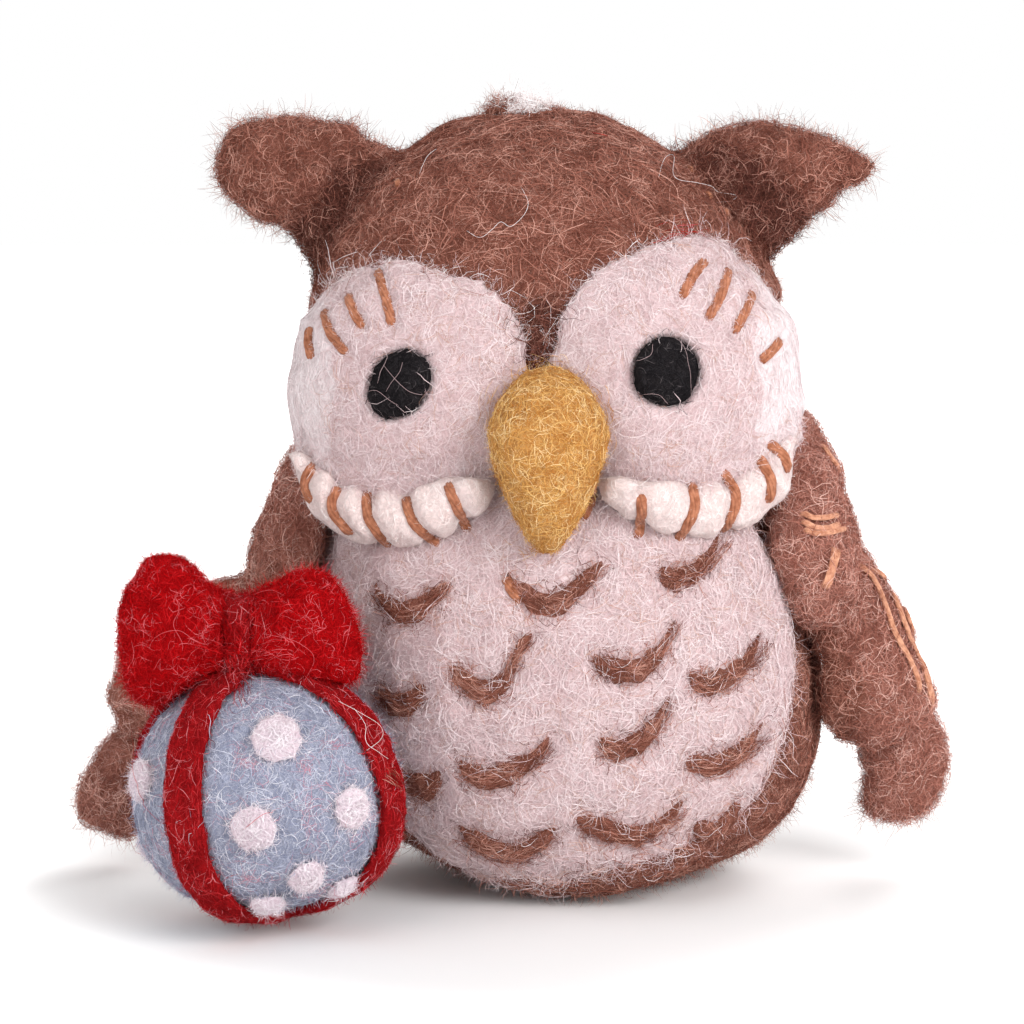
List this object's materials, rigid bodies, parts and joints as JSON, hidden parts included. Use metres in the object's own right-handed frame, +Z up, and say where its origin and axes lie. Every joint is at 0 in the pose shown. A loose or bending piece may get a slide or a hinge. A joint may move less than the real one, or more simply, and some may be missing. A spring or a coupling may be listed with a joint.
{
  "type": "felted wool owl",
  "caption": "Needle-felted wool owl with domed face discs, stitched ruff, feather-marked belly and a sprung free wing, holding a ribboned dotted egg; stands on its own flat foot.",
  "frame": {"origin": "centre of the owl's own flat foot, on the surface it stands on", "axes": "+Z up, the owl faces -Y, +X to the right seen from the front"},
  "size_m": [0.1024, 0.0672, 0.0913],
  "materials": {
    "brown_wool": "needle-felted wool, tangled fibres and a fuzzy edge",
    "pale_wool": "needle-felted pinkish-white wool",
    "white_wool": "needle-felted white wool",
    "black_wool": "tightly felted black wool",
    "ochre_wool": "needle-felted ochre wool",
    "blue_wool": "needle-felted pale blue wool",
    "red_wool": "needle-felted bright red wool",
    "ribbon_wool": "needle-felted dark red wool",
    "dot_wool": "needle-felted white wool",
    "floss": "stranded cotton embroidery thread"
  },
  "bodies": {
    "owl": {"torso": "brown_wool", "head": "brown_wool", "ear_left": "brown_wool", "ear_right": "brown_wool", "crown_tuft": "white_wool", "face_disc_left": "pale_wool", "face_disc_right": "pale_wool", "eye_left": "black_wool", "eye_right": "black_wool", "beak": "ochre_wool", "ruff_left": "white_wool", "ruff_right": "white_wool", "belly_patch": "pale_wool", "feather_mark_1": "brown_wool", "feather_mark_2": "brown_wool", "feather_mark_3": "brown_wool", "feather_mark_4": "brown_wool", "feather_mark_5": "brown_wool", "feather_mark_6": "brown_wool", "feather_mark_7": "brown_wool", "feather_mark_8": "brown_wool", "feather_mark_9": "brown_wool", "feather_mark_10": "brown_wool", "feather_mark_11": "brown_wool", "feather_mark_12": "brown_wool", "feather_mark_13": "brown_wool", "feather_mark_14": "brown_wool", "wing_left_shoulder": "brown_wool", "wing_left_feathers": "brown_wool", "wing_left_tip": "brown_wool", "egg": "blue_wool", "egg_ribbon": "ribbon_wool", "bow_knot": "ribbon_wool", "bow_loop_left": "red_wool", "bow_loop_right": "red_wool", "egg_dot_1": "dot_wool", "egg_dot_2": "dot_wool", "egg_dot_3": "dot_wool", "egg_dot_4": "dot_wool", "egg_dot_5": "dot_wool", "egg_dot_6": "dot_wool", "egg_dot_7": "dot_wool", "egg_dot_8": "dot_wool", "egg_dot_9": "dot_wool", "egg_dot_10": "dot_wool", "egg_dot_11": "dot_wool"},
    "free_wing": {"wing_right_shoulder": "brown_wool", "wing_right_feathers": "brown_wool", "wing_right_tip": "brown_wool"}
  },
  "joints": [
    {"name": "wing_lift", "type": "hinge", "parent": "owl", "child": "free_wing", "pos_m": [0.02227, 0, 0.0565], "axis": [0, -1, 0], "range_deg": [0, 25], "stiffness_Nm_per_rad": 0.005}
  ]
}
